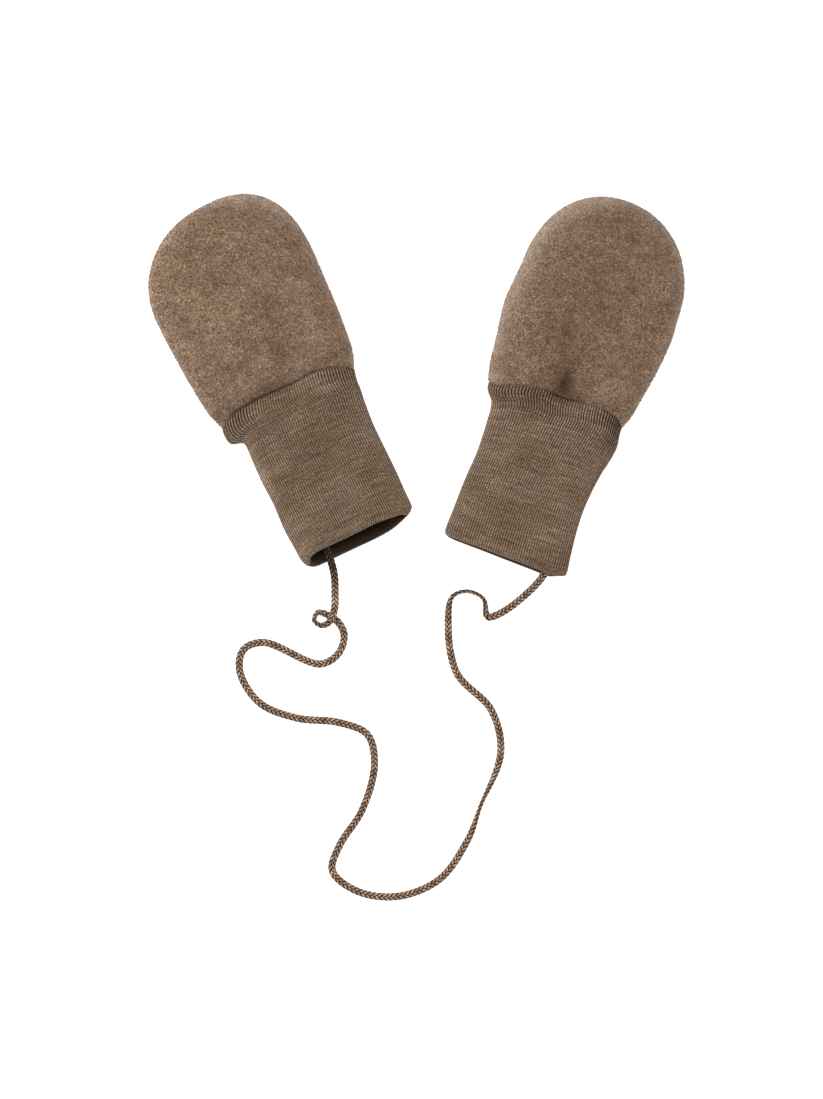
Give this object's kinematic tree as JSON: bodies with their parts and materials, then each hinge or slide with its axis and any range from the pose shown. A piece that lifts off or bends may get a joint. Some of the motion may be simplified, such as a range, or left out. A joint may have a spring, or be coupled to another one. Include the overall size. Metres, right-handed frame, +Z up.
{
  "type": "pair of baby mittens",
  "caption": "Thumbless fleece mittens lying flat, each a soft pouch on a long double rib-knit cuff, joined by one long flat cord.",
  "frame": {"origin": "on the surface that the mittens lie on, under the middle of the two mittens' box", "axes": "+X runs from the left mitten to the right one, +Y from the cord up to the mittens' tips as laid out, +Z up off the surface"},
  "size_m": [0.2253, 0.2972, 0.0165],
  "materials": {
    "fleece": "matte brushed wool fleece, mottled brown",
    "rib_knit": "matte fine rib knit, mottled brown",
    "cord_yarn": "matte braided yarn, light and dark brown"
  },
  "bodies": {
    "root": {"left_back": "fleece", "left_palm": "fleece", "left_cuff": "rib_knit", "right_back": "fleece", "right_palm": "fleece", "right_cuff": "rib_knit", "cord": "cord_yarn"}
  },
  "joints": []
}
